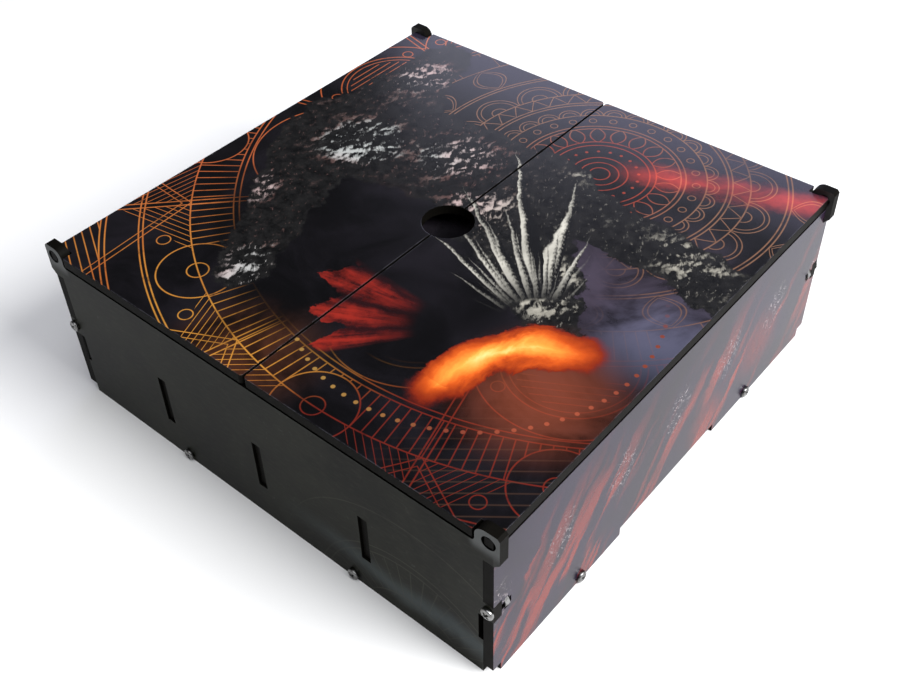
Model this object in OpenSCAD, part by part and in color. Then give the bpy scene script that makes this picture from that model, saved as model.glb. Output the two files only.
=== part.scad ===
// Folding dice tower box: a flat square box of black board with a two-leaf lid.
// The box is the rolling tray. It holds four dice pockets and the loose tower.
// Origin: bottom centre of the box. +Z up, the slotted front wall faces -Y.

/* [Box] */
// Width over the side walls
box_w = 208; // [200:1:230]
// Depth over the front and back walls
box_d = 208; // [200:1:230]
// Height of the walls
wall_h = 66.4; // [64:0.2:80]
// Thickness of every board
board = 4; // [3.6:0.1:4.2]
// Height of the floor panel's middle, where its screws run
floor_mid = 2.5; // [2.4:0.1:4]
// Length of the relief cut into the bottom edge of each side wall
relief_w = 63; // [40:1:80]
// Height of that relief
relief_h = 3.9; // [2:0.1:6]

/* [Lid] */
// Gap between the walls and the underside of the lid leaves
lid_gap = 1; // [0.9:0.1:2]
// Gap between the two leaves
seam_gap = 0.8; // [0.6:0.1:2]
// Diameter of the finger hole in the middle of the lid
finger_hole_d = 20; // [16:0.5:26]
// Width of the hinge tabs, which turn in the ear holes
tab_w = 3.4; // [3:0.1:3.6]
// Running clearance of a hinge tab's corners in its hole
tab_play = 0.05; // [0.03:0.01:0.1]

/* [Ears] */
// How far an ear reaches above its hole's centre
ear_up = 4.6; // [4.2:0.1:5]
// How far an ear reaches inward from its hole's centre
ear_in = 5.2; // [4.4:0.1:5.6]
// How far an ear reaches outward from its hole's centre
ear_out = 4.1; // [3.6:0.1:4.6]
// Height of an ear's lower edge
ear_z = 59.9; // [54:0.1:61]

/* [Corner joints] */
// Height of the corner screws and of the wall fingers that they pass through
joint_z = 35; // [28:0.5:38]
// Height of a wall finger
finger_h = 8; // [7:0.5:10]
// Lower end of the notch in the front and back walls' edges
notch_z = 18; // [12:0.5:22]
// Depth of that notch
notch_depth = 1.9; // [1:0.1:3]

/* [Screws] */
// Thread diameter of the screws
screw_d = 2.45; // [2.4:0.01:2.5]
// Length of a screw under its head
screw_l = 8; // [8:0.5:9]
// Diameter of a screw head
head_d = 4.6; // [4.4:0.1:4.8]
// Height of a screw head
head_h = 1.6; // [1.4:0.1:2]
// Width across the flats of a nut
nut_af = 5; // [4.8:0.1:5]
// Thickness of a nut
nut_t = 2; // [1.8:0.1:2.2]
// Distance of the floor screws from the middle of the front and back walls
front_screw_x = 43; // [36:1:45]
// Distance of the floor screws from the middle of the side walls
side_screw_y = 56; // [48:1:70]

/* [Dice pockets] */
// Distance between two dividers
divider_pitch = 50; // [48:1:52]
// Depth of a dice pocket
pocket_d = 56; // [40:1:58]
// Height of the outer dividers and of the pocket wall
pocket_top = 60; // [50:1:62]
// Lower end of the divider tenons
tenon_z = 15.8; // [12:0.1:18]
// Height of the divider tenons
tenon_h = 22.4; // [18:0.1:26]

/* [Tower] */
// Height of the tower when it stands
tower_h = 186; // [170:1:188]
// Width of the tower
tower_w = 116; // [90:1:118]
// Depth of the tower
tower_d = 56; // [54:1:60]
// Height of the opening that the dice roll out of
exit_h = 44; // [36:1:48]
// Slope of the baffles
baffle_slope = 45; // [40:1:50]
// Length of a baffle board along its slope
baffle_l = 30; // [26:0.5:32]
// Slope of the exit ramp
ramp_slope = 32; // [28:1:36]

/* [Hidden] */
$fn = 48;

// Cutting overlap, and the play of a laser-cut tab in its slot
bite = 1;
fit = 0.05;

// Inside faces of the walls and the floor's surfaces
in_w = box_w - 2 * board;
in_d = box_d - 2 * board;
floor_z = floor_mid - board / 2;
floor_top = floor_mid + board / 2;

// Hinge axis of a leaf, its underside and its outline
pivot_x = box_w / 2 - board / 2;
lid_z = wall_h + lid_gap;
pivot_z = lid_z + board / 2;
pivot_hole_r = sqrt(pow(board / 2, 2) + pow(tab_w / 2, 2)) + tab_play;
leaf_clear = 6;
tab_end_gap = 0.2;
ear_gap = 0.3;
seam_corner_r = 1.5;
ear_chamfer = 2.2;
ear_corner = 1;
ear_round = 4;
ear_fillet = 1.5;

// Slots that hold a screw and its nut
slot_w = 2.7;
nut_in = 1.4;
nut_play = 0.1;
slot_end = screw_l - board + 0.6;
nut_corners = nut_af / cos(30);
hole_d = 2.7;

// Corner fingers
finger_z0 = joint_z - finger_h / 2;
finger_z1 = joint_z + finger_h / 2;

// Pocket wall and the play above the tenons
pocket_y = -in_d / 2 + pocket_d;
tenon_short = 1;
foot_x = 55;
foot_w = 30;
scoop_r = 14;
scoop_up = 2;

// Tower: where it lies, its finger joints and its sloped boards
tower_y = (pocket_y + board + in_d / 2) / 2;
rest_gap = 0.2;
inner_w = tower_w - 2 * board;
joint_len = 24;
joint_at = [10, 76, 136];
baffle_at = [158, 120, 82];
slope_tab = 14;
ramp_l = (tower_d - 2 * board - board * sin(ramp_slope)) / cos(ramp_slope);
ramp_z = ramp_l * sin(ramp_slope) + board * cos(ramp_slope) + 0.5;
thumb_r = 36;
thumb_dip = 8;

// Colours as the pieces look
print_dark = "#1f1c26";
print_grey = "#46464a";
print_haze = "#7d7584";
black_board = "#141414";
zinc = "#c8cacc";

// ---- helpers ----

// A board standing parallel to the front: the outline's x, y become x, z
module upright_x(y0) {
    translate([0, y0 + board, 0]) rotate([90, 0, 0]) linear_extrude(board) children();
}

// A board standing parallel to the sides: the outline's x, y become y, z
module upright_y(x0) {
    translate([x0, 0, 0]) rotate([90, 0, 90]) linear_extrude(board) children();
}

// The same outline on both sides of the middle
module both_sides() {
    children();
    mirror([1, 0]) children();
}

// The same outline at both ends of a board
module both_ends() {
    children();
    mirror([0, 1]) children();
}

// Screw channel and nut cross, running up from an edge at y = 0
module t_slot(cross_w) {
    translate([-slot_w / 2, -bite]) square([slot_w, slot_end + bite]);
    translate([-cross_w / 2, nut_in]) square([cross_w, nut_t + nut_play]);
}

// A pan head screw with a cross recess: the head above z = 0, the shank below
module screw() {
    rim_h = head_h / 2;
    recess_l = head_d * 0.56;
    recess_w = 0.6;
    recess_d = 0.9;
    difference() {
        rotate_extrude() polygon([
            [0, 0], [head_d / 2, 0], [head_d / 2, rim_h],
            [head_d * 0.42, head_h * 0.85], [head_d * 0.22, head_h], [0, head_h]
        ]);
        for (turn = [45, 135])
            rotate([0, 0, turn]) translate([-recess_l / 2, -recess_w / 2, head_h - recess_d])
                cube([recess_l, recess_w, bite + recess_d]);
    }
    translate([0, 0, -screw_l]) cylinder(d1 = screw_d - 0.6, d2 = screw_d, h = 0.4);
    translate([0, 0, 0.4 - screw_l]) cylinder(d = screw_d, h = screw_l - 0.4);
}

// A nut in its slot behind one board, with its corners along the board's edge
module nut() {
    translate([0, 0, -board - nut_in - nut_t - nut_play / 2]) linear_extrude(nut_t) difference() {
        circle(d = nut_corners, $fn = 6);
        circle(d = screw_d + 0.1);
    }
}

// Children at the four corner joints, their z axis pointing out of the wall
module at_corner_joints() {
    for (side = [-1, 1]) {
        translate([side * pivot_x, -box_d / 2, joint_z]) rotate([90, 0, 0]) children();
        translate([side * pivot_x, box_d / 2, joint_z]) rotate([-90, 0, 0]) children();
    }
}

// Children at the eight floor joints, their z axis pointing out of the wall
module at_floor_joints() {
    for (side = [-1, 1]) {
        translate([side * front_screw_x, -box_d / 2, floor_mid]) rotate([90, 0, 0]) children();
        translate([side * front_screw_x, box_d / 2, floor_mid]) rotate([-90, 0, 0]) children();
        translate([box_w / 2, side * side_screw_y, floor_mid])
            rotate([0, 90, 0]) rotate([0, 0, 90]) children();
        translate([-box_w / 2, side * side_screw_y, floor_mid])
            rotate([0, -90, 0]) rotate([0, 0, 90]) children();
    }
}

// ---- walls ----

// Ear at the right-hand corner: round inside, squarer outside, and its fillet
module ear() {
    inner = pivot_x - ear_in;
    outer = pivot_x + ear_out;
    top = pivot_z + ear_up;
    translate([inner + ear_round, top - ear_round]) circle(r = ear_round);
    polygon([
        [inner, ear_z], [box_w / 2, ear_z], [outer, ear_z + ear_chamfer],
        [outer, top - ear_corner], [outer - ear_corner, top], [inner + ear_round, top],
        [inner + ear_round, top - ear_round], [inner, top - ear_round]
    ]);
    translate([inner - ear_fillet, wall_h]) difference() {
        square(ear_fillet);
        translate([0, ear_fillet]) circle(r = ear_fillet);
    }
}

// Front and back walls share this outline
module end_wall_outline() {
    difference() {
        union() {
            translate([-in_w / 2, 0]) square([in_w, wall_h]);
            translate([-box_w / 2, finger_z0]) square([box_w, finger_h]);
            both_sides() ear();
        }
        both_sides() {
            translate([pivot_x, pivot_z]) circle(r = pivot_hole_r);
            translate([pivot_x, joint_z]) circle(d = hole_d);
            translate([front_screw_x, floor_mid]) circle(d = hole_d);
            translate([in_w / 2 - notch_depth, notch_z])
                square([notch_depth + bite, finger_z0 - notch_z]);
        }
    }
}

// Left and right walls share this outline
module side_wall_outline() {
    difference() {
        translate([-box_d / 2, 0]) square([box_d, wall_h]);
        both_sides() {
            translate([in_d / 2, finger_z0]) square([board + bite, finger_h]);
            translate([in_d / 2, ear_z]) square([board + bite, wall_h - ear_z + bite]);
            translate([in_d / 2, -bite]) square([board + bite, board + bite]);
            translate([in_d / 2, joint_z]) rotate(90) t_slot(nut_af + nut_play);
            translate([side_screw_y, floor_mid]) circle(d = hole_d);
        }
        translate([-relief_w / 2, -bite]) square([relief_w, relief_h + bite]);
    }
}

module front_wall() {
    color(print_grey) upright_x(-box_d / 2) difference() {
        end_wall_outline();
        for (k = [-1, 0, 1])
            translate([k * divider_pitch - board / 2 - fit, tenon_z]) square([board + 2 * fit, tenon_h]);
    }
}

module back_wall() {
    color(print_grey) upright_x(in_d / 2) end_wall_outline();
}

module left_wall() {
    color(print_haze) upright_y(-box_w / 2) side_wall_outline();
}

module right_wall() {
    color(print_haze) upright_y(in_w / 2) side_wall_outline();
}

// ---- floor and dice pockets ----

module floor_panel() {
    color(black_board) translate([0, 0, floor_z]) linear_extrude(board) difference() {
        translate([-in_w / 2, -in_d / 2]) square([in_w, in_d]);
        for (side = [-1, 1]) {
            translate([side * front_screw_x, -in_d / 2]) t_slot(nut_corners + nut_play);
            translate([side * front_screw_x, in_d / 2]) rotate(180) t_slot(nut_corners + nut_play);
            translate([in_w / 2, side * side_screw_y]) rotate(90) t_slot(nut_corners + nut_play);
            translate([-in_w / 2, side * side_screw_y]) rotate(-90) t_slot(nut_corners + nut_play);
            translate([side * foot_x - foot_w / 2 - fit, pocket_y - fit])
                square([foot_w + 2 * fit, board + 2 * fit]);
        }
    }
}

// A divider between the front wall and the pocket wall, with a tenon at each end
module divider(k, top) {
    color(black_board) upright_y(k * divider_pitch - board / 2) {
        translate([-in_d / 2, floor_top]) square([pocket_d, top - floor_top]);
        translate([-box_d / 2 + tenon_short, tenon_z + fit])
            square([pocket_d + 2 * board - tenon_short, tenon_h - 2 * fit]);
    }
}

module left_divider() {
    divider(-1, pocket_top);
}

module middle_divider() {
    divider(0, lid_z);
}

module right_divider() {
    divider(1, pocket_top);
}

module pocket_wall() {
    color(black_board) upright_x(pocket_y) difference() {
        union() {
            translate([-in_w / 2, floor_top]) square([in_w, pocket_top - floor_top]);
            for (side = [-1, 1])
                translate([side * foot_x - foot_w / 2, floor_z]) square([foot_w, board + bite]);
        }
        for (k = [-1, 0, 1])
            translate([k * divider_pitch - board / 2 - fit, tenon_z]) square([board + 2 * fit, tenon_h]);
        for (k = [-1.5, -0.5, 0.5, 1.5])
            translate([k * divider_pitch, pocket_top + scoop_up]) circle(r = scoop_r);
    }
}

// ---- fasteners ----

module corner_screws() {
    color(zinc) at_corner_joints() screw();
}

module corner_nuts() {
    color(zinc) at_corner_joints() nut();
}

module floor_screws() {
    color(zinc) at_floor_joints() screw();
}

module floor_nuts() {
    color(zinc) at_floor_joints() nut();
}

// ---- lid leaves ----

// Right-hand leaf: a board with its ear corners cut away, a tab in each cut,
// rounded corners at the seam and half of the finger hole
module leaf_outline() {
    difference() {
        translate([seam_gap / 2, -box_d / 2]) square([(box_w - seam_gap) / 2, box_d]);
        circle(d = finger_hole_d);
        both_ends() {
            translate([pivot_x - leaf_clear, in_d / 2 - ear_gap])
                square([leaf_clear + board, board + bite]);
            translate([seam_gap / 2, box_d / 2 - seam_corner_r]) difference() {
                square(seam_corner_r + bite);
                translate([seam_corner_r, 0]) circle(r = seam_corner_r);
                translate([seam_corner_r, 0]) square(seam_corner_r + bite);
            }
        }
    }
    translate([pivot_x - tab_w / 2, tab_end_gap - box_d / 2])
        square([tab_w, box_d - 2 * tab_end_gap]);
}

module right_lid() {
    color(print_dark) translate([0, 0, lid_z]) linear_extrude(board) leaf_outline();
}

module left_lid() {
    color(print_dark) translate([0, 0, lid_z]) linear_extrude(board) mirror([1, 0]) leaf_outline();
}

// ---- tower, drawn standing and stored lying on its back ----

// Standing: x across, y from the back to the front, z up. Stored: z runs along the box's x
module stored() {
    translate([-tower_h / 2, tower_y - tower_w / 2, floor_top + rest_gap]) rotate([90, 0, 90])
        children();
}

// The section of a sloped board: it starts at the back panel, at height z0, and
// this is the stretch of it between two distances down the slope
module slope_section(z0, slope, from, to, play = 0) {
    translate([board + board * sin(slope), z0]) rotate(-slope)
        translate([from - play, -board - play]) square([to - from + 2 * play, board + 2 * play]);
}

// The same for a board that starts at the front panel
module front_slope_section(z0, slope, from, to, play = 0) {
    translate([tower_d, 0]) mirror([1, 0]) slope_section(z0, slope, from, to, play);
}

// Stretch of a sloped board that has a tab at each end
function tab_from(len) = (len - slope_tab) / 2;
function tab_to(len) = (len + slope_tab) / 2;

// Sections of the tabs of all four sloped boards
module slope_tabs(play) {
    slope_section(baffle_at[0], baffle_slope, tab_from(baffle_l), tab_to(baffle_l), play);
    front_slope_section(baffle_at[1], baffle_slope, tab_from(baffle_l), tab_to(baffle_l), play);
    slope_section(baffle_at[2], baffle_slope, tab_from(baffle_l), tab_to(baffle_l), play);
    slope_section(ramp_z, ramp_slope, tab_from(ramp_l), tab_to(ramp_l), play);
}

// A front or back panel from height z0 up, notched for the tabs of the sides
module panel_outline(z0) {
    difference() {
        translate([0, z0]) square([tower_w, tower_h - z0]);
        for (z = joint_at) {
            translate([-bite, z - fit]) square([board + bite + fit, joint_len + 2 * fit]);
            translate([tower_w - board - fit, z - fit]) square([board + bite + fit, joint_len + 2 * fit]);
        }
    }
}

module tower_back() {
    color(black_board) stored() upright_x(0) panel_outline(0);
}

module tower_front() {
    color(print_grey) stored() upright_x(tower_d - board) difference() {
        panel_outline(exit_h);
        translate([tower_w / 2, tower_h + thumb_r - thumb_dip]) circle(r = thumb_r);
    }
}

// A side: it fits between the panels, with tabs through them
module tower_side(x0) {
    color(black_board) stored() upright_y(x0) difference() {
        union() {
            translate([board, 0]) square([tower_d - 2 * board, tower_h]);
            for (z = joint_at)
                translate([0, z]) square([tower_d - (z < exit_h ? board : 0), joint_len]);
        }
        slope_tabs(fit);
    }
}

module tower_left_side() {
    tower_side(0);
}

module tower_right_side() {
    tower_side(tower_w - board);
}

// A sloped board between the sides: first child its section, second child its tabs'
module sloped_board() {
    color(black_board) stored() {
        translate([board, 0, 0]) rotate([90, 0, 90]) linear_extrude(inner_w) children(0);
        rotate([90, 0, 90]) linear_extrude(tower_w) children(1);
    }
}

module upper_baffle() {
    sloped_board() {
        slope_section(baffle_at[0], baffle_slope, 0, baffle_l);
        slope_section(baffle_at[0], baffle_slope, tab_from(baffle_l), tab_to(baffle_l));
    }
}

module middle_baffle() {
    sloped_board() {
        front_slope_section(baffle_at[1], baffle_slope, 0, baffle_l);
        front_slope_section(baffle_at[1], baffle_slope, tab_from(baffle_l), tab_to(baffle_l));
    }
}

module lower_baffle() {
    sloped_board() {
        slope_section(baffle_at[2], baffle_slope, 0, baffle_l);
        slope_section(baffle_at[2], baffle_slope, tab_from(baffle_l), tab_to(baffle_l));
    }
}

module exit_ramp() {
    sloped_board() {
        slope_section(ramp_z, ramp_slope, 0, ramp_l);
        slope_section(ramp_z, ramp_slope, tab_from(ramp_l), tab_to(ramp_l));
    }
}

// ---- nodes ----

floor_panel();
front_wall();
back_wall();
left_wall();
right_wall();
left_divider();
middle_divider();
right_divider();
pocket_wall();
corner_screws();
corner_nuts();
floor_screws();
floor_nuts();
left_lid();
right_lid();
tower_back();
tower_front();
tower_left_side();
tower_right_side();
upper_baffle();
middle_baffle();
lower_baffle();
exit_ramp();
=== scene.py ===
"""A folding dice tower box: dark printed boards, black laser-cut edges and zinc screws.

Lengths in the geometry are metres. Patterns are worked out in millimetres of the part's own frame,
so a pattern lies on the boards exactly where their sizes put it.
"""

import math

import bmesh
import bpy
import numpy as np
from mathutils import Matrix, Vector


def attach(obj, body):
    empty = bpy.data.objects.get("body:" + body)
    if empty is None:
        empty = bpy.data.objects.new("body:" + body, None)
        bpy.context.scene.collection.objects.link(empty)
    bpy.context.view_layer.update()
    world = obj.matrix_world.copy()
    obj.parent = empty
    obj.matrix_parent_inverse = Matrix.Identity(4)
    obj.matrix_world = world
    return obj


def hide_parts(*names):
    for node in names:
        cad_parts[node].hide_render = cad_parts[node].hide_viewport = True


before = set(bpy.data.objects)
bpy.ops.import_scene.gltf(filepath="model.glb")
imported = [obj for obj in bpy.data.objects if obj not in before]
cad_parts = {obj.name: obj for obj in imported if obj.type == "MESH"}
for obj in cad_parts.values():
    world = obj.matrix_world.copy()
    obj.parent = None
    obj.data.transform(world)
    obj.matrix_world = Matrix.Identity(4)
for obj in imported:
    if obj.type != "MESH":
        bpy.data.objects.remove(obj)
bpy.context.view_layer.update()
MM = 0.001
HALF, WALL_TOP = 104.0, 66.4  # half the box's width and the height of its walls, in millimetres
TOWER_END, TOWER_NEAR, TOWER_FAR = 93.0, -28.0, 88.0  # the lying tower: x ends, and y of its two sides


# ---------------------------------------------------------------- fields: formulas over a surface

class Field:
    """A number that varies over a surface. Arithmetic on fields adds the Math nodes that work it out."""

    def __init__(self, tree, socket):
        self.tree, self.socket = tree, socket

    def do(self, operation, *others):
        """The named Math operation on this field and one or two other fields or numbers."""
        node = self.tree.nodes.new("ShaderNodeMath")
        node.operation = operation
        for slot, value in zip(node.inputs, (self, *others)):
            plug(self.tree, slot, value)
        return Field(self.tree, node.outputs[0])

    def __add__(self, b): return self.do("ADD", b)
    def __radd__(self, b): return self.do("ADD", b)
    def __sub__(self, b): return self.do("SUBTRACT", b)
    def __rsub__(self, b): return self.do("MULTIPLY_ADD", -1.0, b)
    def __mul__(self, b): return self.do("MULTIPLY", b)
    def __rmul__(self, b): return self.do("MULTIPLY", b)
    def __truediv__(self, b): return self.do("DIVIDE", b)
    def __pow__(self, b): return self.do("POWER", b)
    def __mod__(self, b): return self.do("FLOORED_MODULO", b)
    def __abs__(self): return self.do("ABSOLUTE")
    def least(self, b): return self.do("MINIMUM", b)
    def most(self, b): return self.do("MAXIMUM", b)
    def sin(self): return self.do("SINE")
    def cos(self): return self.do("COSINE")
    def over(self, limit): return self.do("GREATER_THAN", limit)
    def under(self, limit): return self.do("LESS_THAN", limit)

    def ramp(self, a, b, smooth=True):
        """0 where the field is at a, 1 where it is at b, and in between smoothly or evenly."""
        node = self.tree.nodes.new("ShaderNodeMapRange")
        node.interpolation_type = "SMOOTHSTEP" if smooth else "LINEAR"
        node.clamp = True
        low, high, flip = (a, b, False) if a < b else (b, a, True)
        plug(self.tree, node.inputs["Value"], self)
        node.inputs["From Min"].default_value = low
        node.inputs["From Max"].default_value = high
        node.inputs["To Min"].default_value = 1.0 if flip else 0.0
        node.inputs["To Max"].default_value = 0.0 if flip else 1.0
        return Field(self.tree, node.outputs["Result"])


def plug(tree, slot, value):
    """Links a field, or sets a plain number or colour, on an input socket."""
    if isinstance(value, Field):
        tree.links.new(value.socket, slot)
    elif isinstance(value, bpy.types.NodeSocket):
        tree.links.new(value, slot)
    else:
        slot.default_value = value


def hypot(a, b):
    """Distance from the origin of a point given by two fields."""
    return (a * a + b * b).do("SQRT")


def place(tree):
    """Object coordinates as three fields, in millimetres."""
    where = tree.nodes.new("ShaderNodeTexCoord")
    split = tree.nodes.new("ShaderNodeSeparateXYZ")
    tree.links.new(where.outputs["Object"], split.inputs[0])
    return [Field(tree, split.outputs[k]) * (1 / MM) for k in range(3)]


def joined(tree, a, b, c=0.0):
    """A vector whose parts are three fields or numbers."""
    node = tree.nodes.new("ShaderNodeCombineXYZ")
    for slot, value in zip(node.inputs, (a, b, c)):
        plug(tree, slot, value)
    return node.outputs[0]


def noise(tree, vector, size, detail=4.0, rough=0.55, distortion=0.0):
    """Cloudy noise around 0.5, whose largest lumps are about size across, in the vector's units."""
    node = tree.nodes.new("ShaderNodeTexNoise")
    node.noise_dimensions = "3D"
    plug(tree, node.inputs["Vector"], vector)
    node.inputs["Scale"].default_value = 1.0 / size
    node.inputs["Detail"].default_value = detail
    node.inputs["Roughness"].default_value = rough
    node.inputs["Distortion"].default_value = distortion
    return Field(tree, node.outputs["Fac"])


def cells(tree, vector, size, random=0.8):
    """Distance to the nearest cell point, in cell sizes."""
    node = tree.nodes.new("ShaderNodeTexVoronoi")
    node.feature = "F1"
    plug(tree, node.inputs["Vector"], vector)
    node.inputs["Scale"].default_value = 1.0 / size
    node.inputs["Randomness"].default_value = random
    return Field(tree, node.outputs["Distance"])


def stroke(distance, width, soft=0.14):
    """1 within half the width of a line, 0 beyond a soft rim, from the distance to the line."""
    return abs(distance).ramp(width / 2 + soft, width / 2 - soft, smooth=False)


def mixed(tree, factor, a, b):
    """Colour a where the factor is 0 and colour b where it is 1."""
    node = tree.nodes.new("ShaderNodeMix")
    node.data_type = "RGBA"
    plug(tree, node.inputs["Factor"], factor)
    for name, value in (("A", a), ("B", b)):
        slot = [s for s in node.inputs if s.name == name and s.type == "RGBA"][0]
        if isinstance(value, tuple):
            slot.default_value = (*value, 1.0)
        else:
            tree.links.new(value, slot)
    return [s for s in node.outputs if s.type == "RGBA"][0]


def added(tree, base, colour, amount):
    """Light of one colour added on top of a base colour, by an amount."""
    node = tree.nodes.new("ShaderNodeMix")
    node.data_type = "RGBA"
    node.blend_type = "ADD"
    plug(tree, node.inputs["Factor"], amount)
    colours = [s for s in node.inputs if s.type == "RGBA"]
    tree.links.new(base, colours[0])
    colours[1].default_value = (*colour, 1.0)
    return [s for s in node.outputs if s.type == "RGBA"][0]


def material(name):
    """A new material with its tree, its Principled shader and its place fields."""
    made = bpy.data.materials.new(name)
    made.use_nodes = True
    tree = made.node_tree
    shader = next(n for n in tree.nodes if n.type == "BSDF_PRINCIPLED")
    return made, tree, shader, place(tree)


def bumped(tree, shader, height, strength, depth):
    """Raises a height field on a surface, by a depth in metres."""
    node = tree.nodes.new("ShaderNodeBump")
    node.inputs["Strength"].default_value = strength
    node.inputs["Distance"].default_value = depth
    plug(tree, node.inputs["Height"], height)
    tree.links.new(node.outputs[0], shader.inputs["Normal"])


def coated(tree, shader, colour, roughness, sheen, height, strength, depth):
    """Wires a board's surface: colour, roughness, sheen, and a relief whose depth is in metres."""
    tree.links.new(colour, shader.inputs["Base Color"])
    plug(tree, shader.inputs["Roughness"], roughness)
    shader.inputs["Specular IOR Level"].default_value = sheen
    bumped(tree, shader, height, strength, depth)


def new_group(name, inputs, outputs):
    """A shader node group with vector or number inputs and number outputs, and its two end nodes."""
    group = bpy.data.node_groups.new(name, "ShaderNodeTree")
    for label, kind, value in inputs:
        socket = group.interface.new_socket(label, in_out="INPUT", socket_type=kind)
        if value is not None:
            socket.default_value = value
    for label in outputs:
        group.interface.new_socket(label, in_out="OUTPUT", socket_type="NodeSocketFloat")
    return group, group.nodes.new("NodeGroupInput"), group.nodes.new("NodeGroupOutput")


def grain_group():
    """Mottling of a sheet: a large cloud, a fine tooth and a very fine height, with sizes in
    millimetres."""
    group, given, result = new_group(
        "sheet_grain", [("Place", "NodeSocketVector", None), ("Cloud Size", "NodeSocketFloat", 40.0),
                        ("Tooth Size", "NodeSocketFloat", 4.0), ("Height Size", "NodeSocketFloat", 0.5)],
        ["Cloud", "Tooth", "Height"])
    for label, detail, rough, twist in (("Cloud", 5.0, 0.6, 0.6), ("Tooth", 5.0, 0.7, 0.0),
                                        ("Height", 2.0, 0.5, 0.0)):
        lumps = group.nodes.new("ShaderNodeTexNoise")
        per_size = Field(group, given.outputs[label + " Size"]) ** -1.0
        plug(group, lumps.inputs["Vector"], given.outputs["Place"])
        plug(group, lumps.inputs["Scale"], per_size)
        lumps.inputs["Detail"].default_value = detail
        lumps.inputs["Roughness"].default_value = rough
        lumps.inputs["Distortion"].default_value = twist
        group.links.new(lumps.outputs["Fac"], result.inputs[label])
    return group


def rim_wear_and_highlight_group():
    """Worn print and a painted edge highlight along a cut edge: 1 at the edge, gone at the given width, and
    broken up by a tooth field.
    """
    group, given, result = new_group(
        "rim_wear_and_highlight", [("Distance", "NodeSocketFloat", 1.0), ("Width", "NodeSocketFloat", 0.4),
                     ("Tooth", "NodeSocketFloat", 0.5)], ["Wear"])
    near = 1.0 - Field(group, given.outputs["Distance"]) / Field(group, given.outputs["Width"])
    broken = near.most(0.0).least(1.0) * Field(group, given.outputs["Tooth"]).ramp(0.35, 0.60)
    plug(group, result.inputs["Wear"], broken)
    return group


GRAIN, RIM_WEAR_AND_HIGHLIGHT = grain_group(), rim_wear_and_highlight_group()


def sheet_grain(tree, vector, cloud_size, tooth_size, height_size=0.5):
    """Cloud, tooth and height fields from the shared grain."""
    node = tree.nodes.new("ShaderNodeGroup")
    node.node_tree = GRAIN
    plug(tree, node.inputs["Place"], vector)
    for label, size in (("Cloud", cloud_size), ("Tooth", tooth_size), ("Height", height_size)):
        node.inputs[label + " Size"].default_value = size
    return [Field(tree, node.outputs[label]) for label in ("Cloud", "Tooth", "Height")]


def rim_wear_and_highlight(tree, distance, width, tooth):
    """Mask of worn print and painted edge highlight, from the distance to the nearest cut edge."""
    node = tree.nodes.new("ShaderNodeGroup")
    node.node_tree = RIM_WEAR_AND_HIGHLIGHT
    plug(tree, node.inputs["Distance"], distance)
    node.inputs["Width"].default_value = width
    plug(tree, node.inputs["Tooth"], tooth)
    return Field(tree, node.outputs["Wear"])


# ---------------------------------------------------------------- ornament

def polar(x, y, cx, cy):
    """Radius and turn, in whole turns from -0.5 to 0.5, about a centre."""
    dx, dy = x - cx, y - cy
    return hypot(dx, dy), dy.do("ARCTAN2", dx) * (0.5 / math.pi)


def sector(radius, turn, count, shift=0.0):
    """Steps along and aside from the nearest of count equal rays, turned by a share of a sector."""
    angle = ((turn * count + (0.5 + shift)) % 1.0 - 0.5) * (2 * math.pi / count)
    return radius * angle.cos(), radius * angle.sin()


def band(radius, inner, outer):
    """1 between two radii."""
    return radius.over(inner) * radius.under(outer)


def rings(radius, *radii):
    """Thin circles at some radii."""
    lines = None
    for r in radii:
        ring = stroke(radius - r, 0.5)
        lines = ring if lines is None else lines.most(ring)
    return lines


def leaf_shape(along, aside, middle, half, wide):
    """Distance outside a pointed leaf on a ray: its half width is wide, falling as a parabola."""
    u = (along - middle) * (1.0 / half)
    return abs(aside) - (1.0 - u * u) * wide


def hatch(value, step, width=0.4):
    """Parallel lines at every step of a field."""
    return stroke((value % step) - step / 2, width)


def inner_wheel(radius, turn):
    """The wheel's middle: rings, beads, petals, ringlets, arches, a zigzag and short rays."""
    lines = rings(radius, 4.0, 7.5, 11.0, 19.5, 22.0, 31.5, 33.4, 41.5, 49.5, 51.2, 58.0, 72.0, 73.6,
                  90.0, 104.0, 106.4)
    along, aside = sector(radius, turn, 20)
    lines = lines.most(stroke(hypot(along - 15.2, aside), 1.3))
    petal = leaf_shape(along, aside, 26.8, 5.2, 3.0)
    lines = lines.most(stroke(petal * 0.8, 0.4) * band(radius, 22.0, 31.5))
    along, aside = sector(radius, turn, 28)
    lines = lines.most(stroke(hypot(along - 37.4, aside) - 1.5, 0.35))
    arch = hypot(along - 41.5, aside)
    lines = lines.most(stroke(arch - 4.6, 0.4).most(stroke(arch - 3.0, 0.35)) * radius.over(41.5))
    zigzag = abs(((turn * 40.0) % 1.0) - 0.5) * 13.0
    lines = lines.most(stroke((radius - 51.4 - zigzag) * 0.6, 0.4) * band(radius, 51.2, 58.0))
    along, aside = sector(radius, turn, 18, 0.5)
    arch = hypot(along - 58.0, aside)
    arches = stroke(arch - 9.8, 0.4).most(stroke(arch - 8.0, 0.35)).most(stroke(arch - 3.4, 0.4))
    lines = lines.most(arches * radius.over(58.0))
    along, aside = sector(radius, turn, 18)
    leaf = leaf_shape(along, aside, 81.8, 8.2, 7.5)
    leaves = stroke(leaf * 0.8, 0.4).most(stroke((leaf + 1.8) * 0.8, 0.35))
    lines = lines.most(leaves * band(radius, 73.6, 90.0))
    _, off = sector(radius, turn, 150)
    rays = stroke(off, 0.35) * band(radius, 90.0, 104.0)
    return lines.most(rays * leaf_shape(along, aside, 96.0, 12.0, 9.0).over(0.0))


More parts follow.
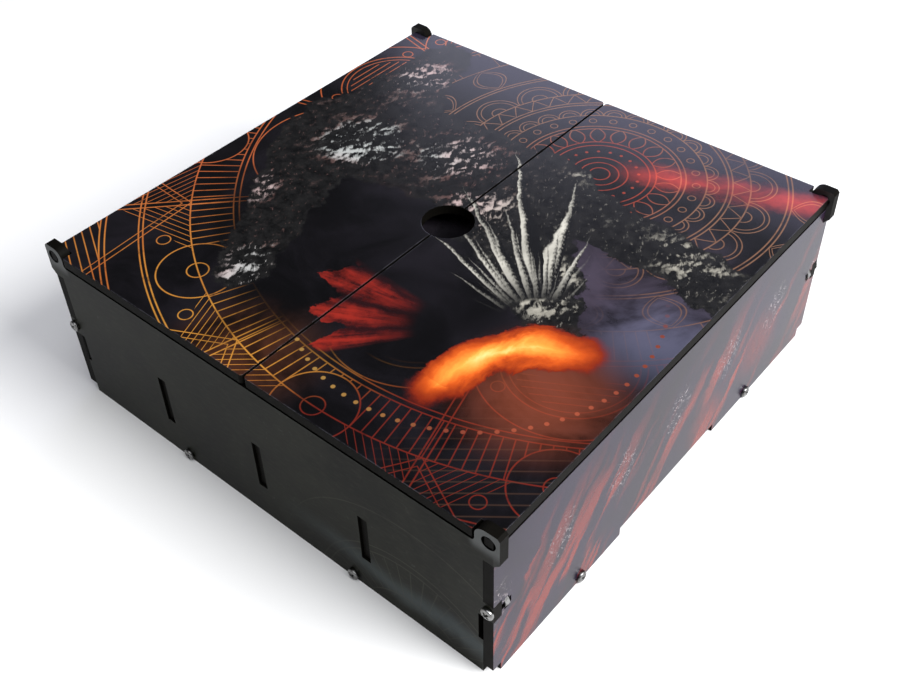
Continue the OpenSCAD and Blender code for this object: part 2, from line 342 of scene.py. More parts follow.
def outer_wheel(radius, turn):
    """The wheel's outside: crossing arcs, a comb of rays, paired spokes, ringlets and nested darts."""
    lines = rings(radius, 140.0, 142.2, 158.5, 176.0, 177.6, 190.0, 192.0)
    along, aside = sector(radius, turn, 12)
    arc = hypot(along - 106.4, aside)
    arcs = stroke(arc - 24.0, 0.5).most(stroke(arc - 21.6, 0.4)).most(stroke(arc - 33.0, 0.5))
    lines = lines.most(arcs * band(radius, 106.4, 140.0))
    lines = lines.most(hatch(along, 2.8, 0.4) * arc.under(20.0) * band(radius, 114.0, 140.0))
    arc = hypot(along - 158.5, aside)
    lines = lines.most(stroke(arc - 15.0, 0.5) * radius.over(142.2)).most(stroke(arc - 4.0, 0.45))
    _, off = sector(radius, turn, 230)
    lines = lines.most(stroke(off, 0.42) * band(radius, 142.2, 158.5) * arc.over(15.0))
    along, aside = sector(radius, turn, 12, 0.5)
    lines = lines.most(stroke(abs(aside) - 1.3, 0.5) * band(radius, 106.4, 190.0))
    lines = lines.most(stroke(hypot(along - 122.0, abs(aside) - 9.0) - 2.3, 0.4))
    lines = lines.most(stroke(hypot(along - 167.0, abs(aside) - 22.0) - 2.6, 0.4))
    dart = along + abs(aside) * 1.4
    wedge = (abs(aside) - (186.0 - along)).under(0.0)
    lines = lines.most(hatch(dart, 4.2, 0.42) * wedge * radius.over(158.5) * abs(aside).over(1.3))
    for start, width in ((158.5, 0.5), (162.0, 0.4)):
        spoke = stroke(abs(aside) * 0.8 - (along - start) * 0.9, width)
        lines = lines.most(spoke * radius.over(158.5))
    teeth = hatch(along + abs(aside) * 0.3, 3.4, 0.42) * radius.over(192.0) * abs(aside).over(1.3)
    return lines.most(teeth).most(stroke(abs(aside) - 1.3, 0.5) * radius.over(190.0))


def capsule(x, y, a, b, ra, rb):
    """Signed distance to a tapered bar from a to b, with end radii ra and rb."""
    ux, uy = b[0] - a[0], b[1] - a[1]
    span = ux * ux + uy * uy
    t = ((x - a[0]) * (ux / span) + (y - a[1]) * (uy / span)).most(0.0).least(1.0)
    return hypot(x - a[0] - t * ux, y - a[1] - t * uy) - ra - t * (rb - ra)


def together(a, b, round_by):
    """Two distances joined with a rounded hollow between them."""
    return a.do("SMOOTH_MIN", b, round_by)


# ---------------------------------------------------------------- materials

def lit_cells(tree, x, y, shift, size, random=0.8):
    """Relief of rounded scales lit from one side: the cell distance at a small shift, less the one here."""
    there = cells(tree, joined(tree, x + shift[0], y + shift[1]), size, random)
    return there - cells(tree, joined(tree, x, y), size, random)


def blob(x, y, cx, cy, reach):
    """A soft round spot: 1 at its centre, 0 at its reach."""
    return hypot(x - cx, y - cy).ramp(reach, reach * 0.15)


# The lid's artwork, in millimetres from the middle of the lid: centres of its round figures
WHEEL, DOT_RING, PETALS, FAN, FIRE = (27.0, 60.0), (34.0, -24.0), (44.0, -40.0), (62.0, -26.0), (92.0, -66.0)
# limbs of the craggy mass: ends, end radii and the rounding where each joins the ones before it
LIMBS = [((-78.0, 90.0), (-66.0, 26.0), 13.0, 24.0, 0.0), ((-70.0, 26.0), (8.0, 34.0), 28.0, 27.0, 12.0),
         ((-74.0, 6.0), (-38.0, -72.0), 20.0, 7.5, 9.0), ((6.0, 40.0), (112.0, 30.0), 17.0, 12.0, 9.0),
         ((8.0, 22.0), (60.0, -16.0), 24.0, 13.0, 9.0)]
# where light catches it: centre, reach and strength
CATCHES = [(-76.0, -32.0, 20.0, 1.0), (-62.0, 18.0, 24.0, 1.0), (-22.0, 36.0, 26.0, 0.8),
           (-74.0, 74.0, 22.0, 0.8), (4.0, 14.0, 22.0, 1.0), (84.0, 38.0, 26.0, 0.6),
           (24.0, 62.0, 16.0, 0.6), (-40.0, -66.0, 20.0, 0.9), (48.0, -8.0, 26.0, 0.9)]
# rows of shards: how many to a full turn, the row's middle in turns, length, slimness and shift
SHARD_ROWS = [(24, 0.368, 165.0, 0.055, 0.2), (38, 0.43, 104.0, 0.050, 0.6),
              (30, 0.32, 84.0, 0.055, 0.1), (46, 0.39, 88.0, 0.042, 0.4)]


def lid_print():
    """The lid's artwork: a great wheel of gold and red lines, a dark craggy mass, shards, a fire and
    a ring of dots."""
    made, tree, shader, (x, y, _) = material("lid_print")
    flat = joined(tree, x, y)
    smoke, fine, tooth = sheet_grain(tree, flat, 34.0, 5.0)
    cloud = noise(tree, flat, 62.0, 3.0)
    warp = noise(tree, joined(tree, x + 300.0, y), 17.0, 5.0, 0.62)
    warp_y = noise(tree, joined(tree, x, y + 300.0), 17.0, 5.0, 0.62)

    # ground: near black, with a violet smoke on the right leaf and a bluish one beside the right edge
    haze = hypot(x - 78.0, (y - 12.0) * 1.2).ramp(60.0, 10.0) * smoke.ramp(0.25, 0.65)
    ground = mixed(tree, smoke.ramp(0.35, 0.75), (0.0012, 0.0010, 0.0014), (0.0070, 0.0058, 0.0082))
    ground = added(tree, ground, (0.040, 0.031, 0.048), haze)
    bluish = blob(x, y, 96.0, -6.0, 30.0) * smoke.ramp(0.3, 0.6)
    ground = added(tree, ground, (0.030, 0.036, 0.058), bluish)
    # painted sheen: a bluish lift of the ground towards the back edge
    ground = added(tree, ground, (0.016, 0.014, 0.026), y.ramp(60.0, 104.0))

    # line ornament, worn and varied as ink is
    radius, turn = polar(x, y, *WHEEL)
    lines = inner_wheel(radius, turn).most(outer_wheel(radius, turn))
    gold = mixed(tree, (x + HALF - y).ramp(150.0, 30.0), (0.42, 0.185, 0.028), (0.40, 0.095, 0.030))
    gold = mixed(tree, cloud.ramp(0.46, 0.60) * 0.7, gold, (0.30, 0.060, 0.016))
    gold = mixed(tree, radius.ramp(128.0, 96.0), gold, (0.165, 0.080, 0.045))
    gold = mixed(tree, radius.ramp(40.0, 18.0), gold, (0.20, 0.026, 0.012))
    gold = mixed(tree, (x - y).ramp(96.0, 128.0), gold, (0.17, 0.016, 0.008))
    ink = (fine.ramp(0.25, 0.50) * 0.65 + 0.35) * (cloud.ramp(0.26, 0.46) * 0.6 + 0.4)
    fade = hypot((x + 2.0) * 0.86, y + 16.0).ramp(58.0, 78.0) * (1.0 - blob(x, y, 84.0, -22.0, 62.0) * 0.85)
    front_dim = 1.0 - (x - y).ramp(90.0, 120.0) * 0.35
    print_colour = mixed(tree, lines * ink * fade * front_dim, ground, gold)
    panel = hatch((x - y) * 0.5 - (x + y) * 0.06, 3.0, 0.35) * blob(x, y, 92.0, -94.0, 46.0)
    print_colour = mixed(tree, panel * 0.5, print_colour, (0.055, 0.028, 0.018))

    # an ember tint under the gold of the left corner
    ember = blob(x, y, -8.0, -96.0, 34.0) * smoke.ramp(0.3, 0.6)
    print_colour = added(tree, print_colour, (0.040, 0.011, 0.002), ember)

    # a red beam behind the mass, towards the right back
    beam = abs((y - 63.0) - (x - 20.0) * 0.36) + abs(warp - 0.5) * 22.0
    glow = beam.ramp(12.0, 0.5) * x.ramp(26.0, 48.0)
    glow = glow * smoke.ramp(0.2, 0.6) * (1.5 - fine)
    print_colour = added(tree, print_colour, (0.27, 0.018, 0.009), glow)

    # ring of dots, gold at the left and dark red towards the right
    dots, dots_turn = polar(x, y, *DOT_RING)
    along, aside = sector(dots, dots_turn, 78)
    shown = dots_turn.ramp(0.10, 0.04) * x.over(0.5)
    spot = stroke(hypot(along - 65.0, aside), 1.6) * shown
    dot_colour = mixed(tree, (x + y).ramp(-70.0, -10.0), (0.24, 0.135, 0.035), (0.15, 0.032, 0.018))
    print_colour = mixed(tree, spot, print_colour, dot_colour)

    # dark red petals near the seam, with a scalloped rim and thin dark ribs
    sweep, sweep_turn = polar(x, y, *PETALS)
    full_turn = sweep_turn % 1.0
    rib = (full_turn * 19.0 + (warp - 0.5) * 0.9) % 1.0 - 0.5
    scallop = 44.0 + abs(rib) * 24.0 - (warp_y - 0.5) * 18.0 + full_turn.ramp(0.60, 0.50) * 8.0
    petal = (scallop - sweep).ramp(0.0, 1.0) * sweep.ramp(18.0, 26.0)
    petal = petal * full_turn.ramp(0.49, 0.505) * full_turn.ramp(0.645, 0.63)
    fold = noise(tree, joined(tree, sweep * 0.12, sweep_turn * 210.0, 2.0), 2.2, 3.0, 0.6)
    vein = abs(rib).ramp(0.02, 0.34) * (fold * 0.8 + fine * 0.5).ramp(0.42, 0.80) * sweep.ramp(14.0, 46.0)
    flesh = mixed(tree, vein, (0.016, 0.003, 0.004), (0.23, 0.015, 0.009))
    print_colour = mixed(tree, petal * smoke.ramp(0.25, 0.5), print_colour, flesh)

    # dark craggy mass of overlapping scales, lit in clusters
    wx, wy = x + (warp - 0.5) * 26.0, y + (warp_y - 0.5) * 26.0
    mass = None
    for start, end, start_r, end_r, round_by in LIMBS:
        limb = capsule(wx, wy, start, end, start_r, end_r)
        mass = together(mass, limb, round_by) if mass else limb
    inside = mass.ramp(0.6, -0.6)
    px, py = x + (warp - 0.5) * 7.0, y + (warp_y - 0.5) * 7.0
    sx, sy = px * 0.82 + py * 0.57, py * 0.62 - px * 0.43
    small = lit_cells(tree, sx, sy, (0.6, -0.5), 2.3, random=1.0)
    middle = lit_cells(tree, px, py, (1.2, -1.0), 5.5, random=1.0)
    large = lit_cells(tree, wx, wy, (3.2, -2.8), 17.0)
    hair = noise(tree, joined(tree, sx * 2.4, sy * 0.8), 1.5, 3.0, 0.7)
    hot = None
    for cx, cy, reach, strength in CATCHES:
        catch = blob(x, y, cx, cy, reach) * strength
        hot = hot.most(catch) if hot else catch
    patch = (hot * 0.9 + (cloud.ramp(0.35, 0.7) * 0.30) + (fine - 0.5) * 0.9).ramp(0.06, 0.85)
    shine = (small * 0.9 + middle * 1.1 + large * 1.6 + (hair - 0.5) * 1.1).ramp(0.05, 0.62) * patch
    shine = shine * mass.ramp(0.0, -5.0)
    scratch = (small * 1.2 + (hair - 0.5) * 1.6).ramp(0.32, 0.60)
    scratch = scratch * mass.ramp(0.0, -3.0) * (patch * 0.7 + 0.28)
    hide = mixed(tree, cloud.ramp(0.4, 0.6), (0.42, 0.31, 0.30), (0.36, 0.37, 0.36))
    hide = mixed(tree, patch.ramp(0.75, 0.30) * 0.75, hide, (0.17, 0.055, 0.040))
    hide = mixed(tree, x.ramp(-10.0, 30.0), hide, (0.34, 0.32, 0.27))
    dark = mixed(tree, fine.ramp(0.3, 0.7), (0.0012, 0.0012, 0.0014), (0.0110, 0.0105, 0.0105))
    wine = blob(x, y, -30.0, -20.0, 30.0) * smoke.ramp(0.45, 0.7)
    dark = added(tree, dark, (0.030, 0.008, 0.007), wine)
    print_colour = mixed(tree, inside, print_colour, dark)
    print_colour = mixed(tree, shine.most(scratch * 0.8), print_colour, hide)

    # pale shards in a fan, each with a lit flank, a dark flank and growth lines
    spread, spread_turn = polar(x, y, *FAN)
    worn_spread, worn_turn = spread + (fine - 0.5) * 0.8, spread_turn + (warp - 0.5) * 0.014
    for count, lean, reach, slim, shift in SHARD_ROWS:
        along, aside = sector(worn_spread, worn_turn, count, shift)
        length = noise(tree, joined(tree, spread_turn * 41.0, 7.0 + shift * 9.0), 2.0, 1.0)
        bunch = abs((spread_turn % 1.0) - lean).ramp(0.095, 0.0)
        shard = abs(aside) - (length * reach * (bunch * 0.95 + 0.35) + 6.0 - along) * slim
        crown = shard.ramp(0.3, -0.3) * spread.ramp(14.0, 18.0) * bunch.ramp(0.0, 0.15)
        growth = stroke((along % 2.3) - 1.15 + abs(aside) * 1.1, 0.7, 0.5)
        flank = (aside + (hair - 0.5) * 3.2 + growth * 0.45).ramp(-0.7, 1.3)
        flank = flank * (smoke.ramp(0.25, 0.6) * 0.6 + 0.4)
        horn = mixed(tree, flank * spread.ramp(12.0, 40.0), (0.004, 0.004, 0.0045), (0.50, 0.48, 0.42))
        print_colour = mixed(tree, crown, print_colour, horn)

    # fire: a curved tongue, dark red at its rim, then orange, then pale yellow along its upper side
    warm = blob(x, y, 80.0, -50.0, 36.0) * smoke.ramp(0.2, 0.6)
    print_colour = added(tree, print_colour, (0.120, 0.026, 0.010), warm)
    fx, fy = x + (warp - 0.5) * 9.0, y + (warp_y - 0.5) * 9.0
    curve, curve_turn = polar(fx, fy, *FIRE)
    licks = noise(tree, joined(tree, curve * 0.5, curve_turn * 60.0 + curve * 0.25), 6.0, 4.0, 0.55, 0.6)
    bow = abs(curve - 41.0) * -1.0 + 10.5 + (licks - 0.5) * 15.0
    bow = bow * (curve_turn % 1.0).ramp(0.25, 0.37) * (curve_turn % 1.0).ramp(0.56, 0.46)
    fire = mixed(tree, bow.ramp(0.0, 7.0), (0.13, 0.008, 0.003), (0.58, 0.085, 0.009))
    fire = mixed(tree, bow.ramp(4.0, 11.0) * (curve - 41.0).ramp(-12.0, 2.0), fire, (0.86, 0.36, 0.055))
    fire = mixed(tree, bow.ramp(8.0, 14.0) * blob(x, y, 56.0, -36.0, 30.0), fire, (0.92, 0.66, 0.28))
    print_colour = mixed(tree, bow.ramp(0.1, 1.6), print_colour, fire)

    # a paler line where the print meets a cut edge: worn print and a painted edge highlight
    rim = (HALF - abs(x)).least(HALF - abs(y)).least(abs(x) - 0.4)
    print_colour = mixed(tree, rim_wear_and_highlight(tree, rim, 0.5, fine) * 0.5, print_colour, (0.07, 0.07, 0.085))

    coated(tree, shader, print_colour, tooth * 0.05 + smoke * 0.08 + 0.15, 0.42, tooth, 0.10, 0.00003)
    return made


def front_print():
    """The front and back walls: charcoal smoke, fine hairs, faint large arcs, a painted reflection of the
    floor low down and a painted highlight that makes the ears paler.
    """
    made, tree, shader, (x, y, z) = material("front_print")
    flat = joined(tree, x, y, z)
    smoke, fine, tooth = sheet_grain(tree, flat, 46.0, 3.0)
    hairs = noise(tree, joined(tree, x * 0.3 + z * 0.5, y, z * 1.2 - x * 0.2), 1.6, 4.0, 0.7)
    mottled = mixed(tree, smoke.ramp(0.3, 0.72), (0.0026, 0.0028, 0.0018), (0.0125, 0.0132, 0.0090))
    mottled = mixed(tree, hairs.ramp(0.45, 0.75) * 0.5, mottled, (0.024, 0.025, 0.018))
    radius, turn = polar(x, z, 70.0, -14.0)
    _, aside = sector(radius, turn, 44)
    arcs = rings(radius, 24.0, 41.0, 44.0, 62.0).most(stroke(aside, 0.35) * band(radius, 24.0, 41.0))
    arcs = arcs * x.ramp(0.0, 60.0) * smoke.ramp(0.3, 0.6)
    # painted reflection of the floor: a pale bluish band low on the wall, rising towards the right
    painted_floor_reflection = abs(z - 15.0 + (x - 40.0) * 0.05 + (smoke - 0.5) * 18.0).ramp(9.0, 0.0) * x.ramp(0.0, 70.0)
    mottled = added(tree, mottled, (0.030, 0.038, 0.042), painted_floor_reflection)
    colour = mixed(tree, arcs * 0.45, mottled, (0.060, 0.058, 0.045))
    colour = mixed(tree, fine.ramp(0.60, 0.74) * smoke.ramp(0.42, 0.6) * 0.4, colour, (0.06, 0.06, 0.055))
    # painted highlight: the ears' faces made paler
    painted_ear_highlight = z.ramp(62.0, 67.0) * abs(x).ramp(94.0, 97.0)
    colour = mixed(tree, painted_ear_highlight * 0.85, colour, (0.105, 0.110, 0.110))
    # a paler line along the cut edges: worn print and a painted edge highlight
    rim = (HALF - abs(x)).least(z).least(abs(z - WALL_TOP))
    colour = mixed(tree, rim_wear_and_highlight(tree, rim, 0.45, fine) * 0.35, colour, (0.07, 0.07, 0.07))
    coated(tree, shader, colour, smoke * 0.12 + 0.26, 0.035, tooth, 0.12, 0.00004)
    return made


def tower_print():
    """The tower's front: dark smoke with a worn bronze wheel near its top."""
    made, tree, shader, (x, y, z) = material("tower_print")
    flat = joined(tree, x, y, z)
    smoke, fine, tooth = sheet_grain(tree, flat, 38.0, 3.0)
    ground = mixed(tree, smoke.ramp(0.3, 0.72), (0.0040, 0.0036, 0.0046), (0.0180, 0.0150, 0.0200))
    shrink = 1.49  # the lid's wheel, drawn this much smaller
    radius, turn = polar(x * shrink, y * shrink, 56.6, 44.7)
    lines = inner_wheel(radius, turn) * (fine.ramp(0.25, 0.50) * 0.6 + 0.4) * radius.under(58.3)
    bronze = mixed(tree, radius.ramp(60.0, 16.0), (0.150, 0.085, 0.045), (0.30, 0.145, 0.040))
    colour = mixed(tree, lines, ground, bronze)
    colour = added(tree, colour, (0.10, 0.010, 0.006), radius.ramp(30.0, 0.0) * smoke.ramp(0.2, 0.7))
    # a paler line along the cut edges: worn print and a painted edge highlight
    rim = (TOWER_END - abs(x)).least(y - TOWER_NEAR).least(TOWER_FAR - y)
    colour = mixed(tree, rim_wear_and_highlight(tree, rim, 0.5, fine) * 0.5, colour, (0.08, 0.08, 0.08))
    coated(tree, shader, colour, smoke * 0.12 + 0.22, 0.3, tooth, 0.12, 0.00004)
    return made


def side_print():
    """The left and right walls: slanting red streaks on dark smoke, and bursts of pale flecks."""
    made, tree, shader, (x, y, z) = material("side_print")
    flat = joined(tree, 0.0, y, z)
    smoke, fine, tooth = sheet_grain(tree, flat, 40.0, 2.0)
    bend = y * 0.80 - z * 0.6 + (smoke - 0.5) * 16.0
    slant = joined(tree, bend * 0.9, (z * 0.80 + y * 0.6) * 0.12, 3.0)
    streak = noise(tree, slant, 6.2, 2.5, 0.5, 0.3)
    colour = mixed(tree, smoke.ramp(0.3, 0.7), (0.0060, 0.0040, 0.0110), (0.0150, 0.0105, 0.0260))
    red = streak.ramp(0.50, 0.64) * (0.35 + smoke.ramp(0.34, 0.62) * 0.65) * z.ramp(70.0, 26.0)
    colour = mixed(tree, red, colour, (0.160, 0.0210, 0.0170))
    glow = blob(y, z, 60.0, 26.0, 20.0).most(blob(y, z, 24.0, 14.0, 16.0)) * fine.ramp(0.2, 0.7)
    colour = mixed(tree, glow * 0.8, colour, (0.120, 0.013, 0.012))
    apart, height = 34.6, 38.0  # the bursts' spacing along the wall, and their height
    step = (y + apart / 2) % apart - apart / 2
    burst = hypot(step * 1.2 - (z - height) * 0.3, (z - height) * 0.8)
    curl = noise(tree, joined(tree, step, z, y * 0.03), 4.2, 2.0, 0.5, 1.6)
    flecks = burst.ramp(11.0, 5.0) * stroke(curl - 0.52, 0.035, 0.015) * fine.ramp(0.46, 0.56)
    colour = mixed(tree, flecks * 0.9, colour, (0.26, 0.23, 0.24))
    # a paler line along the cut edges: worn print and a painted edge highlight
    rim = (HALF - abs(y)).least(z).least(WALL_TOP - z)
    colour = mixed(tree, rim_wear_and_highlight(tree, rim, 0.45, fine) * 0.35, colour, (0.09, 0.08, 0.09))
    coated(tree, shader, colour, smoke * 0.12 + 0.19, 0.118, tooth, 0.12, 0.00004)
    return made


def black_board():
    """Unprinted faces: matt black board with a fine fibre."""
    made, tree, shader, (x, y, z) = material("black_board")
    cloud, fine, _ = sheet_grain(tree, joined(tree, x, y, z), 30.0, 2.2)
    fibre = noise(tree, joined(tree, x * 0.16, y, z), 0.9, 3.0, 0.6)
    colour = mixed(tree, fibre * 0.6 + cloud * 0.4, (0.0085, 0.0085, 0.0090), (0.026, 0.0245, 0.0235))
    colour = mixed(tree, fine.ramp(0.62, 0.78) * 0.35, colour, (0.060, 0.057, 0.053))
    coated(tree, shader, colour, fibre * 0.2 + 0.42, 0.3, fibre, 0.25, 0.00006)
    return made


def cut_edge():
    """Laser-cut edges: charred black, with the fine ripple that the beam leaves."""
    made, tree, shader, (x, y, z) = material("cut_edge")
    soot, fine, ripple = sheet_grain(tree, joined(tree, x, y, z), 9.0, 1.2, 0.45)
    colour = mixed(tree, soot, (0.0012, 0.0011, 0.0009), (0.0050, 0.0044, 0.0034))
    colour = mixed(tree, fine.ramp(0.60, 0.80) * 0.4, colour, (0.016, 0.013, 0.009))
    coated(tree, shader, colour, soot * 0.2 + 0.42, 0.025, ripple, 0.4, 0.00008)
    return made


def zinc():
    """Bright zinc plating with fine turning marks and a little tarnish."""
    made, tree, shader, (x, y, z) = material("zinc")
    tarnish = noise(tree, joined(tree, x, y, z), 1.6, 4.0, 0.6)
    colour = mixed(tree, tarnish.ramp(0.35, 0.7), (0.27, 0.27, 0.27), (0.12, 0.117, 0.11))
    tree.links.new(colour, shader.inputs["Base Color"])
    shader.inputs["Metallic"].default_value = 1.0
    plug(tree, shader.inputs["Roughness"], tarnish * 0.25 + 0.18)
    bumped(tree, shader, tarnish, 0.15, 0.00003)
    return made


LID, FRONT, SIDE, TOWER = lid_print(), front_print(), side_print(), tower_print()
BLACK, EDGE, ZINC = black_board(), cut_edge(), zinc()


# ---------------------------------------------------------------- pieces

def board(node, body, out, print_material):
    """The CAD board with its sharp edges eased: a merged copy whose faces along the outward axis
    take the print, those along the opposite axis the plain black, and the rest the cut edge."""
    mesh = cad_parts[node].data.copy()
    mesh.materials.clear()
    for m in (print_material, BLACK, EDGE):
        mesh.materials.append(m)
    shape = bmesh.new()
    shape.from_mesh(mesh)
    bmesh.ops.remove_doubles(shape, verts=shape.verts, dist=1e-6)
    bmesh.ops.dissolve_limit(shape, angle_limit=math.radians(1.0), verts=shape.verts, edges=shape.edges)
    shape.normal_update()
    out = Vector(out)
    for face in shape.faces:
        lean = face.normal.dot(out)
        face.material_index = 0 if lean > 0.9 else 1 if lean < -0.9 else 2
        face.smooth = False
    shape.to_mesh(mesh)
    shape.free()
    piece = bpy.data.objects.new(node + "_board", mesh)
    bpy.context.scene.collection.objects.link(piece)
    ease = piece.modifiers.new("eased_edges", "BEVEL")
    ease.width = 0.16 * MM
    ease.segments = 2
    ease.limit_method = "ANGLE"
    ease.angle_limit = math.radians(40)
    ease.harden_normals = False
    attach(piece, body)
    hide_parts(node)


board("left_lid", "left_leaf", (0, 0, 1), LID)
board("right_lid", "right_leaf", (0, 0, 1), LID)
board("front_wall", "box", (0, -1, 0), FRONT)
board("back_wall", "box", (0, 1, 0), FRONT)
board("left_wall", "box", (-1, 0, 0), SIDE)
board("right_wall", "box", (1, 0, 0), SIDE)
board("floor_panel", "box", (0, 0, 1), BLACK)
for name in ("left_divider", "middle_divider", "right_divider"):
    board(name, "box", (1, 0, 0), BLACK)
board("pocket_wall", "box", (0, 1, 0), BLACK)
board("tower_front", "tower", (0, 0, 1), TOWER)
board("tower_back", "tower", (0, 0, -1), BLACK)
board("tower_left_side", "tower", (0, -1, 0), BLACK)
board("tower_right_side", "tower", (0, 1, 0), BLACK)
for name in ("upper_baffle", "middle_baffle", "lower_baffle", "exit_ramp"):
    board(name, "tower", (0, 0, 1), BLACK)

# Fastener sizes, in millimetres: an M2.5 pan head screw and its hex nut
HEAD_R, HEAD_H, SHANK_R, SHANK_L, PITCH, THREAD = 2.3, 1.6, 1.225, 8.0, 0.45, 0.22
NUT_AF, NUT_T, NUT_BORE, NUT_DEPTH = 5.0, 2.0, 1.275, 5.45
CROSS_REACH, CROSS_HALF, CROSS_DEPTH, CROSS_SOFT = 1.28, 0.30, 0.95, 0.12

# Where they sit: heights of the floor and corner rows, and how far along each wall they are
FLOOR_MID, JOINT_Z, CORNER_X, FRONT_X, SIDE_Y = 2.5, 35.0, 102.0, 43.0, 56.0
QUARTERS = [(sx, sy) for sx in (-1, 1) for sy in (-1, 1)]
AROUND = 60  # steps round a turned surface


def frames(places):
    """Turns and shifts that take a fastener drawn along +Z to each (position, outward axis, side axis)."""
    made = []
    for at, out, side in places:
        out, side = np.array(out, float), np.array(side, float)
        made.append((np.column_stack([side, np.cross(out, side), out]), np.array(at, float)))
    return made


def corner_places():
    """The four corner screws: on the front and back walls, over the side walls' edges."""
    return frames([((sx * CORNER_X, sy * HALF, JOINT_Z), (0, sy, 0), (sx, 0, 0))
                   for sx, sy in QUARTERS])


def floor_places():
    """The eight floor screws: two through each wall, into the floor panel's edges."""
    ends = [((sx * FRONT_X, sy * HALF, FLOOR_MID), (0, sy, 0), (sx, 0, 0)) for sx, sy in QUARTERS]
    sides = [((sx * HALF, sy * SIDE_Y, FLOOR_MID), (sx, 0, 0), (0, sy, 0)) for sx, sy in QUARTERS]
    return frames(ends + sides)


def lathe(rows, closed=False):
    """Points and quads of a surface turned about Z. rows is an array (n, AROUND, 3), each row one turn
    of the outline; the first and last rows shrink to the axis, or join each other when closed."""
    count = len(rows)
    index = np.arange(count * AROUND).reshape(count, AROUND)
    index = np.concatenate([index, index[:1]]) if closed else index
    a, b = index[:-1], index[1:]
    quads = np.stack([a, np.roll(a, -1, 1), np.roll(b, -1, 1), b], -1).reshape(-1, 4)
    return rows.reshape(-1, 3), quads


def turned(radius, height, angle):
    """Cylindrical to Cartesian: radius, height and angle arrays of one shape to (..., 3) points."""
    return np.stack([radius * np.cos(angle), radius * np.sin(angle), height], -1)


def ridge(height, angle):
    """Thread height, 0 at the root and 1 at the crest: a triangle wave of height over pitch less turn,
    with its crest and root cut flat."""
    phase = (height / PITCH - angle / (2 * np.pi)) % 1.0
    return np.clip(1.35 * (1 - 2 * np.abs(phase - 0.5)) - 0.175, 0, 1)


def screw_surface():
    """A pan head with a cross recess, and a threaded shank with a coned tip, as one turned grid.
    Head top: an ellipse dome less a cross-shaped well whose depth falls off at its rounded walls."""
    angle = np.linspace(0, 2 * np.pi, AROUND, endpoint=False)[None, :]
    r = np.concatenate([[1e-4], np.linspace(0.06, 1.0, 26)])[:, None] * HEAD_R * 0.97
    u, v = r * np.cos(angle + np.pi / 4), r * np.sin(angle + np.pi / 4)
    arms = np.minimum(np.maximum(np.abs(u) - CROSS_REACH, np.abs(v) - CROSS_HALF),
                      np.maximum(np.abs(v) - CROSS_REACH, np.abs(u) - CROSS_HALF))
    well = CROSS_DEPTH * np.clip(0.5 - arms / CROSS_SOFT, 0, 1)
    dome = HEAD_H * (0.55 + 0.45 * np.sqrt(np.clip(1 - (r / HEAD_R) ** 2.4, 0, 1)))
    top = turned(r + 0 * angle, dome - well, angle + 0 * r)
    skirt_r = np.array([HEAD_R, HEAD_R, HEAD_R - 0.08, SHANK_R + 0.05])[:, None]
    skirt_z = np.array([HEAD_H * 0.5, 0.12, 0.0, 0.0])[:, None]
    skirt = turned(skirt_r + 0 * angle, skirt_z + 0 * angle, angle + 0 * skirt_r)
    z = np.linspace(-0.05, -SHANK_L + 0.02, 124)[:, None]
    grow = np.clip((-z - 0.2) / 0.5, 0, 1) * np.clip((SHANK_L + z) / 0.5, 0, 1)
    taper = np.clip((SHANK_L + z) / 0.5, 0.62, 1.0)
    shank_r = (SHANK_R - THREAD * (1 - ridge(z, angle)) * grow) * taper
    shank = turned(shank_r, z + 0 * angle, angle + 0 * z)
    tip_r = np.array([[0.4], [1e-4]]) + 0 * angle
    tip = turned(tip_r, np.full((2, AROUND), -SHANK_L), np.repeat(angle, 2, 0))
    return lathe(np.concatenate([top, skirt, shank, tip]))


def nut_surface():
    """A hex nut with coned corners and a threaded bore, as one closed turned grid. Outside radius:
    half the width across flats over the cosine of the angle to the nearest flat's middle."""
    angle = np.linspace(0, 2 * np.pi, AROUND, endpoint=False)[None, :]
    hexagon = NUT_AF / 2 / np.cos(angle % (np.pi / 3) - np.pi / 6)
    z = np.array([0.0, 0.0, 0.0, 0.14, 0.30, 1.0, 1.70, 1.86, 2.0, 2.0, 2.0])[:, None] / 2.0 * NUT_T
    cap = np.array([1.55, 2.0, 2.42, 2.62, 9, 9, 9, 2.62, 2.42, 2.0, 1.55])[:, None]
    outside = turned(np.minimum(hexagon, cap), z + 0 * angle, angle + 0 * z)
    z = np.linspace(NUT_T - 0.15, 0.15, 40)[:, None]
    bore = turned(NUT_BORE + 0.16 * (1 - ridge(z, angle)), z + 0 * angle, angle + 0 * z)
    points, quads = lathe(np.concatenate([outside, bore]), closed=True)
    return points - [0, 0, NUT_DEPTH + NUT_T], quads


def fastener(name, node, surface, places):
    """One mesh with the turned surface repeated at every place, standing for a CAD node."""
    points, quads = surface
    copies = [points @ turn.T + shift for turn, shift in places]
    corners = np.concatenate([quads + k * len(points) for k in range(len(places))])
    mesh = bpy.data.meshes.new(name)
    mesh.from_pydata(np.concatenate(copies) * MM, [], corners.tolist())
    mesh.materials.append(ZINC)
    shape = bmesh.new()
    shape.from_mesh(mesh)
    bmesh.ops.remove_doubles(shape, verts=shape.verts, dist=1e-6)
    bmesh.ops.recalc_face_normals(shape, faces=shape.faces)
    shape.to_mesh(mesh)
    shape.free()
    mesh.shade_smooth()
    mesh.set_sharp_from_angle(angle=math.radians(35))
    piece = bpy.data.objects.new(name, mesh)
    bpy.context.scene.collection.objects.link(piece)
    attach(piece, "box")
    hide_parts(node)


fastener("corner_pan_head_screws", "corner_screws", screw_surface(), corner_places())
fastener("floor_pan_head_screws", "floor_screws", screw_surface(), floor_places())
fastener("corner_hex_nuts", "corner_nuts", nut_surface(), corner_places())
fastener("floor_hex_nuts", "floor_nuts", nut_surface(), floor_places())


# ---------------------------------------------------------------- stage

